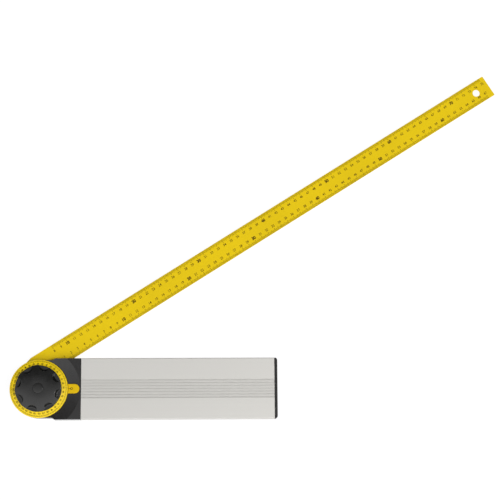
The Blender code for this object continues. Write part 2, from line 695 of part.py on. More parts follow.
def dial(pivot):
    edge = DIAL_EDGE_ROUND
    rim = arc((DIAL_RADIUS - edge, DIAL_TOP - DIAL_FALL - edge), edge, 80, 0, 5)
    profile = [
        (BOLT_BORE + GAP, DIAL_WEB_TOP),
        (DIAL_LIP_INNER, DIAL_WEB_TOP),
        (DIAL_LIP_INNER, DIAL_TOP + DIAL_LIP_HEIGHT / 2),
        ((DIAL_LIP_INNER + DIAL_LIP_OUTER) / 2, DIAL_TOP + DIAL_LIP_HEIGHT),
        (DIAL_LIP_OUTER, DIAL_TOP),
        *rim,
        (DIAL_RADIUS, DIAL_BOTTOM),
        (BOLT_BORE + GAP, DIAL_BOTTOM),
    ]
    made = add("dial_ring", turned("dial_ring", profile, steps=DIAL_STEPS), "yellow_plastic", pivot)
    head_top = DIAL_WEB_TOP - DIAL_SCREW_INSET
    head_bottom = head_top - DIAL_SCREW_HEAD
    for i, (x, y) in enumerate(spread(3, DIAL_SCREW_CIRCLE), 1):
        place = (-x, -y)
        drill(made, SCREW_HOLE, DISH_FLOOR, STOCK_THICKNESS + GAP, place)
        drill(made, SCREW_HEAD_RADIUS + GAP, head_bottom - GAP, KNOB_BOTTOM, place)
        name = f"dial_screw_{i}"
        profile = [
            (0, head_top),
            (SCREW_HEAD_RADIUS, head_top),
            (SCREW_HEAD_RADIUS, head_bottom),
            (SCREW_RADIUS, head_bottom),
            (SCREW_RADIUS, FLANGE_TOP + 2 * GAP),
            (0, FLANGE_TOP + 2 * GAP),
        ]
        mesh = turned(name, profile, steps=SMALL_STEPS)
        mesh.transform(Matrix.Translation((*place, 0)))
        screw = add(name, mesh, "zinc_steel", pivot)
        drill(screw, SOCKET_RADIUS, head_top - DIAL_SCREW_SOCKET, head_top + GAP, place, segments=HEX)


# The knob and what is in it


def knob(axis):
    cap_floor = KNOB_CAP_BOTTOM - GAP
    insert_room = INSERT_TOP + GAP
    profile = [
        (0, cap_floor),
        (KNOB_CAP_RADIUS + GAP, cap_floor),
        (KNOB_CAP_RADIUS + GAP, KNOB_TOP),
        *[(radius, KNOB_TOP - drop) for radius, drop in KNOB_CROWN],
        (KNOB_FOOT_RADIUS, KNOB_BOTTOM),
        (KNOB_ROOM_RADIUS, KNOB_BOTTOM),
        (KNOB_ROOM_RADIUS, KNOB_ROOM_EDGE_TOP),
        (KNOB_ROOM_SHOULDER, KNOB_ROOM_SHOULDER_TOP),
        (KNOB_ROOM_SHOULDER, KNOB_ROOM_TOP),
        (KNOB_HUB_RADIUS, KNOB_ROOM_TOP),
        (KNOB_HUB_RADIUS, WASHER_TOP + GAP),
        (INSERT_RADIUS + GAP, WASHER_TOP + GAP),
        (INSERT_RADIUS + GAP, insert_room),
        (0, insert_room),
    ]
    made = add("knob", turned("knob", profile), "knob_plastic", axis)
    for i in range(SCALLOP_COUNT):
        angle = SCALLOP_PHASE + 2 * math.pi * i / SCALLOP_COUNT
        place = (SCALLOP_CIRCLE * math.cos(angle), SCALLOP_CIRCLE * math.sin(angle))
        scoop = rod_mesh(
            f"knob_scallop_{i}", SCALLOP_FLOOR, KNOB_TOP + GAP, place, SCALLOP_FLOOR_RADIUS, SCALLOP_TOP_RADIUS
        )
        combine(made, scoop)
    insert_bottom = WASHER_TOP + 1.3 * GAP
    flat_ring("knob_insert", BOLT_BORE, INSERT_RADIUS, insert_bottom, INSERT_TOP, "brass", axis)
    cap_top = KNOB_TOP + KNOB_CAP_RISE
    disc = [
        (0, cap_top),
        (KNOB_CAP_RADIUS - KNOB_CAP_CHAMFER, cap_top),
        (KNOB_CAP_RADIUS, cap_top - KNOB_CAP_CHAMFER),
        (KNOB_CAP_RADIUS, KNOB_CAP_BOTTOM),
        (0, KNOB_CAP_BOTTOM),
    ]
    add("knob_cap", turned("knob_cap", disc, steps=BOLT_STEPS), "knob_plastic", axis)


def main():
    clear_scene()
    stock()
    end_cap()
    back_shell()
    front_shell()
    index_tab()
    bolt()
    screws()
    flat_ring(
        "back_friction_ring",
        FRICTION_INNER,
        RECESS_RADIUS - GAP,
        RECESS_FLOOR + GAP,
        BLADE_BOTTOM - GAP,
        "friction_fibre",
    )
    glide_top = FLANGE_BOTTOM + GLIDE_HEIGHT
    flat_ring("front_glide_ring", GLIDE_INNER, GLIDE_OUTER, FLANGE_BOTTOM, glide_top, "white_nylon")
    pivot = empty("blade_pivot")
    pivot.rotation_euler.z = REST_ANGLE
    blade(pivot)
    hub(pivot)
    rivets(pivot)
    dial(pivot)
    flat_ring("thrust_washer", BOLT_BORE, WASHER_RADIUS, KNOB_BOTTOM, WASHER_TOP, "zinc_steel")
    knob(empty("knob_axis"))


main()
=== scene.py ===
import json
import math

import bmesh
import bpy
from mathutils import Matrix, Vector


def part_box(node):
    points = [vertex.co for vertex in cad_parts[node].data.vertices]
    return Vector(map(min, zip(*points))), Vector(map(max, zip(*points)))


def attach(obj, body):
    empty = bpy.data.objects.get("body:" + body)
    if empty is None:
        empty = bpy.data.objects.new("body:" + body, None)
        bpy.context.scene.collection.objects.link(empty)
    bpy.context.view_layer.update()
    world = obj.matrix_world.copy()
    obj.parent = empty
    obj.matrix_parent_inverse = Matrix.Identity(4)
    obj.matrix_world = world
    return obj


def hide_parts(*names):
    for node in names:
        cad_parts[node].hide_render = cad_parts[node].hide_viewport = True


# The looks of a folding protractor bevel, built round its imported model. Lengths are in metres.
# The pivot axis is Z through the origin, and the stock runs along +X.

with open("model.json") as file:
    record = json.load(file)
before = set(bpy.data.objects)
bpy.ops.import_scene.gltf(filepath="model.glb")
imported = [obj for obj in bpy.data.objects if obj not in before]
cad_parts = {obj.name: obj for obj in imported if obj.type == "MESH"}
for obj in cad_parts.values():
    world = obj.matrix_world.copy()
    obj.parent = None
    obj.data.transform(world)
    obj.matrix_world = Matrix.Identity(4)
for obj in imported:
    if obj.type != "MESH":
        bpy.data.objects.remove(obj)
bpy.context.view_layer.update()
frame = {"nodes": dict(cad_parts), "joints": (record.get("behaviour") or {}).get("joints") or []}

MM = 0.001

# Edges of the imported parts
STOCK_LOW, STOCK_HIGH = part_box("stock_profile")
DIAL_LOW, DIAL_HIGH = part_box("dial_ring")
TAB_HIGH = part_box("index_tab")[1]
KNOB_LOW, KNOB_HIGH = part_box("knob")
KNOB_CAP_LOW, KNOB_CAP_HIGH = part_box("knob_cap")
BLADE_LOW, BLADE_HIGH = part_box("blade")

# The blade's angle from the stock at rest: the joint turns back by as much to fold it
BLADE_JOINT = next(joint for joint in frame["joints"] if joint["name"] == "blade_turn")
REST_ANGLE = -math.radians(BLADE_JOINT["range_deg"][0])
TURN = Matrix.Rotation(REST_ANGLE, 4, "Z")

# Stock's sunk band: half its width, its depth, and how much darker its surface is
BAND = 12.3 * MM
BAND_DEPTH = 0.25 * MM
BAND_SHADE = 0.905


# Mesh tools

WELD = 0.002 * MM  # points closer than this are one point
FINE_WELD = 0.0005 * MM
SHARP_ANGLE = math.radians(35)  # a steeper edge than this is shaded sharp
BEVEL_ANGLE = math.radians(40)  # and than this is rounded
FLAT_ANGLE = math.radians(0.1)  # faces closer to level with each other than this are joined
CREASE_ANGLE = math.radians(2)
LEVEL = 0.99  # the least upward part of a level face's normal


def arc(centre, radius, start, end, count):
    """Points along an arc, both ends included. Angles are in degrees."""
    angles = [math.radians(start + (end - start) * i / (count - 1)) for i in range(count)]
    return [(centre[0] + radius * math.cos(a), centre[1] + radius * math.sin(a)) for a in angles]


def circle(centre, radius, count):
    return arc(centre, radius, 0, 360, count + 1)[:-1]


def mesh_of(guide):
    """The mesh that a guide object makes, in world space. The guide is removed."""
    bpy.context.view_layer.update()
    evaluated = guide.evaluated_get(bpy.context.evaluated_depsgraph_get())
    mesh = bpy.data.meshes.new_from_object(evaluated)
    mesh.transform(guide.matrix_world)
    bpy.data.objects.remove(guide)
    return mesh


def guide_object(name, data):
    guide = bpy.data.objects.new(name, data)
    bpy.context.scene.collection.objects.link(guide)
    return guide


def tidy(mesh):
    bm = bmesh.new()
    bm.from_mesh(mesh)
    bmesh.ops.remove_doubles(bm, verts=bm.verts, dist=WELD)
    bmesh.ops.recalc_face_normals(bm, faces=bm.faces)
    bm.to_mesh(mesh)
    bm.free()
    mesh.shade_smooth()
    mesh.set_sharp_from_angle(angle=SHARP_ANGLE)
    return mesh


def plate(name, loops, low, high, edge=0.0, along_x=False):
    """An outline, with its holes, extruded from low to high with rounded edges."""
    curve = bpy.data.curves.new(name, "CURVE")
    curve.dimensions = "2D"
    curve.fill_mode = "BOTH"
    curve.extrude = (high - low) / 2 - edge
    curve.bevel_depth = edge
    curve.bevel_resolution = 2
    curve.offset = -edge
    for loop in loops:
        spline = curve.splines.new("POLY")
        spline.points.add(len(loop) - 1)
        spline.use_cyclic_u = True
        for point, (x, y) in zip(spline.points, loop):
            point.co = (x, y, 0, 1)
    guide = guide_object(name, curve)
    middle = (low + high) / 2
    if along_x:
        guide.location.x = middle
        guide.rotation_euler = (math.pi / 2, 0, math.pi / 2)
    else:
        guide.location.z = middle
    return tidy(mesh_of(guide))


def ring_angles(steps):
    return [2 * math.pi * i / steps for i in range(steps)]


def turned(name, profile, steps):
    """A profile turned about Z. A profile off the axis is closed."""
    rows = [[(r * math.cos(a), r * math.sin(a), z) for a in ring_angles(steps)] for r, z in profile]
    return lofted(name, rows, closed=profile[0][0] > 0)


def lofted(name, rows, closed):
    """A surface through rings of points. Its last ring joins its first, or both lie on the axis."""
    bm = bmesh.new()
    rings = [[bm.verts.new(point) for point in row] for row in rows]
    pairs = list(zip(rings, rings[1:]))
    if closed:
        pairs.append((rings[-1], rings[0]))
    for upper, lower in pairs:
        count = len(upper)
        for i in range(count):
            j = (i + 1) % count
            bm.faces.new((upper[i], lower[i], lower[j], upper[j]))
    mesh = bpy.data.meshes.new(name)
    bmesh.ops.remove_doubles(bm, verts=bm.verts, dist=FINE_WELD)
    bm.to_mesh(mesh)
    bm.free()
    return tidy(mesh)


def softened(node, edge, segments=2):
    """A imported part's own mesh with its edges rounded."""
    mesh = frame["nodes"][node].data.copy()
    bm = bmesh.new()
    bm.from_mesh(mesh)
    bmesh.ops.remove_doubles(bm, verts=bm.verts, dist=WELD)
    bmesh.ops.dissolve_limit(bm, angle_limit=FLAT_ANGLE, verts=bm.verts, edges=bm.edges)
    bm.to_mesh(mesh)
    bm.free()
    guide = guide_object(node, mesh)
    bevel = guide.modifiers.new("edges", "BEVEL")
    bevel.width = edge
    bevel.segments = segments
    bevel.limit_method = "ANGLE"
    bevel.angle_limit = BEVEL_ANGLE
    bevel.use_clamp_overlap = True
    bevel.miter_outer = "MITER_ARC"
    return tidy(mesh_of(guide))


def creased(mesh):
    """Keeps the edge crisp where a shallow slope meets a level face."""
    bm = bmesh.new()
    bm.from_mesh(mesh)
    for edge in bm.edges:
        if len(edge.link_faces) == 2 and all(face.normal.z > LEVEL for face in edge.link_faces):
            edge.smooth = edge.calc_face_angle() < CREASE_ANGLE
    bm.to_mesh(mesh)
    bm.free()
    return mesh


# Materials


class Finish:
    """A node material, built up from its shader."""

    def __init__(self, name, color, roughness, metallic=0.0, specular=0.5):
        self.material = bpy.data.materials.new(name)
        self.material.use_nodes = True
        self.material.diffuse_color = (*color, 1)
        self.tree = self.material.node_tree
        self.shader = self.tree.nodes["Principled BSDF"]
        self.set(self.shader, "Base Color", (*color, 1))
        self.set(self.shader, "Roughness", roughness)
        self.set(self.shader, "Metallic", metallic)
        self.set(self.shader, "Specular IOR Level", specular)
        self.color = color
        self.place = self.node("ShaderNodeTexCoord").outputs["Object"]

    def set(self, node, socket, value):
        if isinstance(value, bpy.types.NodeSocket):
            self.tree.links.new(value, node.inputs[socket])
        else:
            node.inputs[socket].default_value = value

    def node(self, kind, options=None, **sockets):
        made = self.tree.nodes.new(kind)
        for key, value in (options or {}).items():
            setattr(made, key, value)
        for key, value in sockets.items():
            self.set(made, key.replace("_", " "), value)
        return made

    def stretched(self, x, y, z, turn=0.0):
        """The object's own coordinates, turned back about Z and then scaled."""
        made = self.node("ShaderNodeMapping", {"vector_type": "TEXTURE"})
        self.set(made, "Vector", self.place)
        self.set(made, "Rotation", (0, 0, turn))
        self.set(made, "Scale", (1 / x, 1 / y, 1 / z))
        return made.outputs["Vector"]

    def along(self, axis):
        """One of the object's own coordinates."""
        made = self.node("ShaderNodeSeparateXYZ")
        self.set(made, "Vector", self.place)
        return made.outputs[axis]

    def noise(self, scale, detail=3.0, roughness=0.5, place=None, distortion=0.0):
        made = self.node("ShaderNodeTexNoise")
        for socket, value in (
            ("Vector", place or self.place),
            ("Scale", scale),
            ("Detail", detail),
            ("Roughness", roughness),
            ("Distortion", distortion),
        ):
            self.set(made, socket, value)
        return made.outputs["Fac"]

    def math(self, operation, first, second=0.0):
        made = self.node("ShaderNodeMath", {"operation": operation})
        for i, value in enumerate((first, second)):
            if isinstance(value, bpy.types.NodeSocket):
                self.tree.links.new(value, made.inputs[i])
            else:
                made.inputs[i].default_value = value
        return made.outputs["Value"]

    def remap(self, value, low, high, to_low=0.0, to_high=1.0):
        """The value's run from low to high, stretched to another run and held at its ends."""
        made = self.node("ShaderNodeMapRange")
        for socket, number in (
            ("Value", value),
            ("From Min", low),
            ("From Max", high),
            ("To Min", to_low),
            ("To Max", to_high),
        ):
            self.set(made, socket, number)
        return made.outputs["Result"]

    def mix(self, factor, first, second, blend="MIX"):
        made = self.node("ShaderNodeMix", {"data_type": "RGBA", "blend_type": blend})
        for i, value in ((0, factor), (6, first), (7, second)):
            if isinstance(value, bpy.types.NodeSocket):
                self.tree.links.new(value, made.inputs[i])
            else:
                made.inputs[i].default_value = value if i == 0 else (*value, 1)
        return made.outputs[2]

    def bump(self, height, distance, strength, under=None):
        """A relief as deep as distance, laid over the one under it."""
        made = self.node("ShaderNodeBump")
        self.set(made, "Height", height)
        self.set(made, "Distance", distance)
        self.set(made, "Strength", strength)
        if under:
            self.set(made, "Normal", under)
        return made.outputs["Normal"]

    def use(self, color=None, roughness=None, normal=None):
        if color:
            self.set(self.shader, "Base Color", color)
        if roughness:
            self.set(self.shader, "Roughness", roughness)
        if normal:
            self.set(self.shader, "Normal", normal)
        return self.material


def shade(color, factor):
    return tuple(min(1.0, c * factor) for c in color)


def lacquer():
    """Lacquer on sheet metal: soft clouds, faint wiping marks along the blade and orange peel."""
    made = Finish("yellow_lacquer", (0.765, 0.545, 0.002), 0.42, specular=0.15)
    clouds = made.remap(made.noise(9, 4, 0.6), 0.3, 0.7)
    color = made.mix(clouds, shade(made.color, 0.95), shade(made.color, 1.04))
    marks = made.noise(1, 3, 0.6, made.stretched(22, 900, 900, REST_ANGLE))
    color = made.mix(made.remap(marks, 0.62, 0.78, 0, 0.35), color, shade(made.color, 0.86))
    speckle = made.remap(made.noise(700, 2), 0.66, 0.72, 0, 0.3)
    color = made.mix(speckle, color, (0.60, 0.40, 0.02))
    gloss = made.remap(marks, 0.3, 0.7, 0.36, 0.5)
    peel = made.bump(made.noise(1500, 2), 0.02 * MM, 0.35)
    return made.use(color, gloss, made.bump(marks, 0.01 * MM, 0.3, peel))


def yellow_plastic(name, color, specular):
    """Moulded plastic with a fine satin texture."""
    made = Finish(name, color, 0.4, specular=specular)
    clouds = made.remap(made.noise(60, 3, 0.6), 0.3, 0.7)
    color = made.mix(clouds, shade(made.color, 0.94), shade(made.color, 1.05))
    grime = made.remap(made.noise(420, 4, 0.7), 0.58, 0.74, 0, 0.25)
    color = made.mix(grime, color, (0.52, 0.34, 0.02))
    gloss = made.remap(made.noise(240, 3), 0.3, 0.7, 0.32, 0.44)
    return made.use(color, gloss, made.bump(made.noise(3200, 2), 0.015 * MM, 0.4))


def dark_plastic(name, color, rough_low, rough_high, grain):
    """Spark-eroded moulded plastic: a fine grain, paler scuffs and soft mottling."""
    made = Finish(name, color, (rough_low + rough_high) / 2, specular=0.65)
    mottle = made.remap(made.noise(45, 4, 0.6), 0.3, 0.7)
    base = made.mix(mottle, shade(color, 0.86), shade(color, 1.16))
    scuffs = made.noise(1, 3, 0.65, made.stretched(160, 420, 160), 0.6)
    base = made.mix(made.remap(scuffs, 0.64, 0.8, 0, 0.4), base, shade(color, 1.9))
    gloss = made.remap(made.noise(130, 4, 0.6), 0.3, 0.7, rough_low, rough_high)
    fine = made.bump(made.noise(grain, 3, 0.6), 0.012 * MM, 0.5)
    return made.use(base, gloss, made.bump(scuffs, 0.006 * MM, 0.2, fine))


def aluminium():
    """Anodised extrusion: fine die lines along it over a frosted surface."""
    made = Finish("anodised_aluminium", (0.655, 0.643, 0.612), 0.45, metallic=0.6)
    lines = made.noise(1, 3, 0.6, made.stretched(0.8, 1500, 1500))
    frost = made.noise(2600, 2, 0.6)
    edge = 0.05 * MM
    across = made.remap(made.math("ABSOLUTE", made.along("Y")), BAND + edge, BAND - edge)
    high = made.remap(made.along("Z"), 19 * MM, 19.4 * MM)  # the face, and not the back
    band = made.math("MULTIPLY", across, high)
    color = made.mix(band, made.color, shade(made.color, BAND_SHADE))
    white = (1.0, 1.0, 1.0)
    tone = made.mix(made.remap(lines, 0.3, 0.7), shade(white, 0.975), white)
    color = made.mix(1.0, color, tone, "MULTIPLY")
    gloss = made.remap(made.math("ADD", lines, frost), 0.7, 1.3, 0.4, 0.52)
    under = made.bump(frost, 0.008 * MM, 0.3)
    return made.use(color, gloss, made.bump(lines, 0.004 * MM, 0.3, under))


def plain_metal(name, color, rough_low, rough_high, grain):
    """Plated metal with fine turning or rolling marks and slight tarnish."""
    made = Finish(name, color, (rough_low + rough_high) / 2, metallic=1.0)
    tarnish = made.remap(made.noise(180, 4, 0.65), 0.35, 0.7)
    base = made.mix(tarnish, shade(color, 1.05), shade(color, 0.8))
    gloss = made.remap(made.noise(grain, 3, 0.6), 0.3, 0.7, rough_low, rough_high)
    return made.use(base, gloss, made.bump(made.noise(grain * 1.7, 3), 0.01 * MM, 0.5))


def dull(name, color, rough_low, rough_high, grain, depth):
    """A dull moulded or pressed ring."""
    made = Finish(name, color, (rough_low + rough_high) / 2)
    fibres = made.remap(made.noise(grain, 5, 0.7), 0.3, 0.7)
    base = made.mix(fibres, shade(color, 0.75), shade(color, 1.2))
    gloss = made.remap(made.noise(grain * 0.4, 3), 0.3, 0.7, rough_low, rough_high)
    return made.use(base, gloss, made.bump(made.noise(grain * 2, 4, 0.7), depth, 0.7))


def ink(name, color):
    """Screen-printed ink, slightly uneven."""
    made = Finish(name, color, 0.5, specular=0.12)
    cover = made.remap(made.noise(900, 3, 0.6), 0.3, 0.75)
    base = made.mix(cover, shade(color, 0.8), shade(color, 1.3))
    gloss = made.remap(made.noise(500, 2), 0.3, 0.7, 0.42, 0.6)
    return made.use(base, gloss, made.bump(made.noise(2500, 2), 0.01 * MM, 0.3))


FINISHES = {
    "anodised_aluminium": aluminium(),
    "black_plastic": dark_plastic("black_plastic", (0.007, 0.0063, 0.0065), 0.2, 0.28, 2600),
    "knob_plastic": dark_plastic("knob_plastic", (0.0045, 0.0045, 0.004), 0.2, 0.28, 3000),
    "yellow_lacquer": lacquer(),
    "yellow_plastic": yellow_plastic("yellow_plastic", (0.87, 0.62, 0.001), 0.32),
    "pointer_plastic": yellow_plastic("pointer_plastic", (0.73, 0.475, 0.001), 0.15),
    "zinc_steel": plain_metal("zinc_steel", (0.60, 0.61, 0.63), 0.24, 0.4, 900),
    "brass": plain_metal("brass", (0.72, 0.52, 0.22), 0.24, 0.4, 900),
    "friction_fibre": dull("friction_fibre", (0.13, 0.09, 0.07), 0.75, 0.9, 1400, 0.06 * MM),
    "white_nylon": dull("white_nylon", (0.76, 0.75, 0.70), 0.45, 0.6, 300, 0.01 * MM),
    "scale_print": ink("scale_print", (0.060, 0.030, 0.001)),
    "dial_print": ink("dial_print", (0.040, 0.022, 0.002)),
}


def piece(name, mesh, body, finish, nodes=(), place=None):
    """A shown piece, on a body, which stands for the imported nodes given."""
    if place:
        mesh.transform(place)
    obj = guide_object(name, mesh)
    mesh.materials.clear()
    mesh.materials.append(FINISHES[finish])
    normals = obj.modifiers.new("normals", "WEIGHTED_NORMAL")
    normals.keep_sharp = True
    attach(obj, body)
    if nodes:
        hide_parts(*nodes)
    return obj


# Stock

STOCK_WALL, STOCK_CORNER, CHAMBER_FILLET = 1.8 * MM, 1.0 * MM, 0.5 * MM
SLOT_HALF = 1.8 * MM  # half the height of the slot that the blade folds into
SLOT_FLOOR, SLOT_LIP = 9.4 * MM, 0.35 * MM
BAND_EDGE = ((0.1 * MM, 0), (0, 0.08 * MM), (0, BAND_DEPTH))  # beyond the band's half, and down
GROOVES, GROOVE_PITCH = 7, 3.7 * MM
GROOVE = ((0.34 * MM, 0), (0.26 * MM, 0.04 * MM), (0.06 * MM, 0.33 * MM))  # half width, and down


def stock_section():
    """The extrusion's outline and its chambers, in Y and Z."""
    half, face = STOCK_HIGH.y, STOCK_HIGH.z
    wall, corner, lip = STOCK_WALL, STOCK_CORNER, SLOT_LIP
    slot_low, slot_high = face / 2 - SLOT_HALF, face / 2 + SLOT_HALF
    floor = face - BAND_DEPTH
    outline = arc((half - corner, face - corner), corner, 0, 90, 8)
    outline += [(BAND + beyond, face - down) for beyond, down in BAND_EDGE]
    for i in range(GROOVES):
        y = (GROOVES // 2 - i) * GROOVE_PITCH
        outline += [(y + width, floor - down) for width, down in GROOVE]
        outline += [(y - width, floor - down) for width, down in reversed(GROOVE)]
    outline += [(-BAND - beyond, face - down) for beyond, down in reversed(BAND_EDGE)]
    outline += arc((corner - half, face - corner), corner, 90, 180, 8)
    outline += arc((corner - half, corner), corner, 180, 270, 8)
    outline += arc((half - corner, corner), corner, 270, 360, 8)
    outline += arc((half - lip, slot_low - lip), lip, 0, 90, 4)
    outline += [(SLOT_FLOOR, slot_low), (SLOT_FLOOR, slot_high)]
    outline += arc((half - lip, slot_high + lip), lip, 270, 360, 4)
    chambers = []
    for y_low, y_high, z_low, z_high in (
        (wall - half, SLOT_FLOOR - wall, wall, face - wall),
        (SLOT_FLOOR, half - wall, wall, slot_low - wall),
        (SLOT_FLOOR, half - wall, slot_high + wall, face - wall),
    ):
        fillet = CHAMBER_FILLET
        loop = arc((y_high - fillet, z_high - fillet), fillet, 0, 90, 4)
        loop += arc((y_low + fillet, z_high - fillet), fillet, 90, 180, 4)
        loop += arc((y_low + fillet, z_low + fillet), fillet, 180, 270, 4)
        loop += arc((y_high - fillet, z_low + fillet), fillet, 270, 360, 4)
        chambers.append(loop)
    return [outline, *chambers]


def build_stock():
    saw_edge, cap_edge = 0.15 * MM, 0.35 * MM
    mesh = plate("stock", stock_section(), STOCK_LOW.x, STOCK_HIGH.x, saw_edge, along_x=True)
    piece("stock_extrusion", mesh, "stock", "anodised_aluminium", ["stock_profile"])
    piece("end_cap_moulding", softened("end_cap", cap_edge), "stock", "black_plastic", ["end_cap"])


# Head

SHELL_EDGE, TAB_EDGE = 0.25 * MM, 0.45 * MM


def build_head():
    for node, name in (("head_front_shell", "head_front"), ("head_back_shell", "head_back")):
        piece(name, creased(softened(node, SHELL_EDGE)), "stock", "black_plastic", [node])
    tab = softened("index_tab", TAB_EDGE, 3)
    piece("index_pointer", tab, "stock", "pointer_plastic", ["index_tab"])


# Blade, in its own frame: U along it and V across it, from the pivot

BLADE_END = 718.5 * MM
BLADE_INNER, BLADE_OUTER = 10.6 * MM, 40.6 * MM
BLADE_ROOT = 36 * MM
SHOULDER = 11.5 * MM  # the outer edge starts here, where the line that grazes the root ends
TIP_CORNER = 1 * MM
BLADE_EDGE = 0.18 * MM
HOLE_U, HOLE_V, HOLE_RADIUS = 698.5 * MM, 25.6 * MM, 4.75 * MM
BORE_RADIUS = 8.3 * MM
RIVET_CIRCLE, RIVET_RADIUS = 13.5 * MM, 2.2 * MM


def blade_outline():
    reach = math.hypot(SHOULDER, BLADE_OUTER)
    tangent = math.degrees(math.atan2(BLADE_OUTER, SHOULDER) + math.acos(BLADE_ROOT / reach))
    inner = 360 + math.degrees(math.asin(BLADE_INNER / BLADE_ROOT))
    corner = TIP_CORNER
    tip = BLADE_END - corner
    return [
        *arc((tip, BLADE_INNER + corner), corner, 270, 360, 8),
        *arc((tip, BLADE_OUTER - corner), corner, 0, 90, 8),
        (SHOULDER, BLADE_OUTER),
        *arc((0, 0), BLADE_ROOT, tangent, inner, 97),
    ]


def build_blade():
    rivets = [(RIVET_CIRCLE * math.cos(a), RIVET_CIRCLE * math.sin(a)) for a in ring_angles(3)]
    holes = [
        circle((HOLE_U, HOLE_V), HOLE_RADIUS, 64),
        circle((0, 0), BORE_RADIUS, 48),
        *[circle(place, RIVET_RADIUS, 24) for place in rivets],
    ]
    mesh = plate("blade", [blade_outline(), *holes], BLADE_LOW.z, BLADE_HIGH.z, BLADE_EDGE)
    piece("blade_rule", mesh, "blade", "yellow_lacquer", ["blade"], TURN)


# Print

PRINT_SINK = 0.03 * MM  # how far the ink reaches into the surface, so that it can't float
PRINT_RISE = 0.02 * MM
PRINT_WELD = 0.001 * MM


class Print:
    """Ink laid on a face: thin closed bars and figures, collected into one mesh.

    The face is level at its height, or falls outward from a radius, by slope."""

    def __init__(self, face, from_radius=0.0, slope=0.0):
        self.face = face
        self.from_radius = from_radius
        self.slope = slope
        self.verts = []
        self.faces = []
        self.figures = {}

    def point(self, x, y, upper):
        fall = self.slope * (math.hypot(x, y) - self.from_radius)
        return (x, y, self.face - fall + (PRINT_RISE if upper else -PRINT_SINK))

    def slab(self, corners):
        """A bar with the given four corners, counterclockwise from above."""
        first = len(self.verts)
        self.verts += [self.point(x, y, upper) for upper in (False, True) for x, y in corners]
        count = len(corners)
        self.faces.append([first + i for i in reversed(range(count))])
        self.faces.append([first + count + i for i in range(count)])
        for i in range(count):
            j = (i + 1) % count
            self.faces.append([first + i, first + j, first + count + j, first + count + i])

    def bar(self, x_low, x_high, y_low, y_high, turn=0.0):
        corners = [(x_low, y_low), (x_high, y_low), (x_high, y_high), (x_low, y_high)]
        cos, sin = math.cos(turn), math.sin(turn)
        self.slab([(x * cos - y * sin, x * sin + y * cos) for x, y in corners])

    def figure(self, text, height, weight):
        """A number's points and faces, centred, at a height. Weight thickens the strokes."""
        key = (text, height, weight)
        if key not in self.figures:
            curve = bpy.data.curves.new("figure", "FONT")
            curve.body = text
            curve.resolution_u = 3
            curve.extrude = 0.5
            curve.offset = weight
            curve.fill_mode = "BOTH"
            mesh = mesh_of(guide_object("figure", curve))
            xs = [v.co.x for v in mesh.vertices]
            ys = [v.co.y for v in mesh.vertices]
            scale = height / (max(ys) - min(ys))
            middle = ((max(xs) + min(xs)) / 2, (max(ys) + min(ys)) / 2)
            points = [
                ((v.co.x - middle[0]) * scale, (v.co.y - middle[1]) * scale, v.co.z > 0)
                for v in mesh.vertices
            ]
            faces = [list(face.vertices) for face in mesh.polygons]
            bpy.data.meshes.remove(mesh)
            self.figures[key] = (points, faces)
        return self.figures[key]

    def write(self, text, x, y, height, weight=0.0, turn=0.0, squeeze=1.0):
        points, faces = self.figure(text, height, weight)
        cos, sin = math.cos(turn), math.sin(turn)
        first = len(self.verts)
        for px, py, upper in points:
            px *= squeeze
            self.verts.append(self.point(x + px * cos - py * sin, y + px * sin + py * cos, upper))
        self.faces += [[first + i for i in face] for face in faces]

    def mesh(self, name):
        made = bpy.data.meshes.new(name)
        made.from_pydata(self.verts, [], self.faces)
        bm = bmesh.new()
        bm.from_mesh(made)
        bmesh.ops.remove_doubles(bm, verts=bm.verts, dist=PRINT_WELD)
        bmesh.ops.recalc_face_normals(bm, faces=bm.faces)
        bm.to_mesh(made)
        bm.free()
        return made


OUTER_ZERO, OUTER_FIRST, OUTER_LAST = -37.9 * MM, 8, 75
INNER_ZERO, INNER_FIRST, INNER_LAST = 39.05 * MM, 0, 67
OUTER_NUMBERS, INNER_NUMBERS = 32.1 * MM, 19.1 * MM
MARK_GAP = 0.25 * MM  # from the blade's edge
PLAIN_NUMBER, TENS_NUMBER = (3.3 * MM, 0.015), (4.4 * MM, 0.05)  # height and weight
BLADE_SQUEEZE = 0.95

# A scale's marks, from the main ones down: every so many steps, how far in they reach, and width.
# On the dial, how far in is a radius.
BLADE_MARKS = ((10, 5.6 * MM, 0.34 * MM), (5, 4.7 * MM, 0.3 * MM), (1, 3.8 * MM, 0.26 * MM))
DIAL_MARKS = ((10, 33.7 * MM, 0.32 * MM), (5, 34.0 * MM, 0.28 * MM), (1, 34.4 * MM, 0.22 * MM))


def mark_at(step, marks):
    return next((reach, width) for every, reach, width in marks if step % every == 0)


def blade_scale(ticks, numbers, zero, first, last, edge, inward, row):
    """A centimetre scale along one edge of the blade. Inward is +1 or -1 along V."""
    for step in range(first * 10, last * 10 + 1):
        u = zero + step * MM
        length, width = mark_at(step, BLADE_MARKS)
        low, high = sorted((edge + inward * MARK_GAP, edge + inward * length))
        ticks.bar(u - width / 2, u + width / 2, low, high)
    for n in range(max(first, 1), last + 1):
        u = zero + n * 10 * MM
        height, weight = PLAIN_NUMBER if n % 10 else TENS_NUMBER
        numbers.write(str(n), u, row, height, weight, squeeze=BLADE_SQUEEZE)


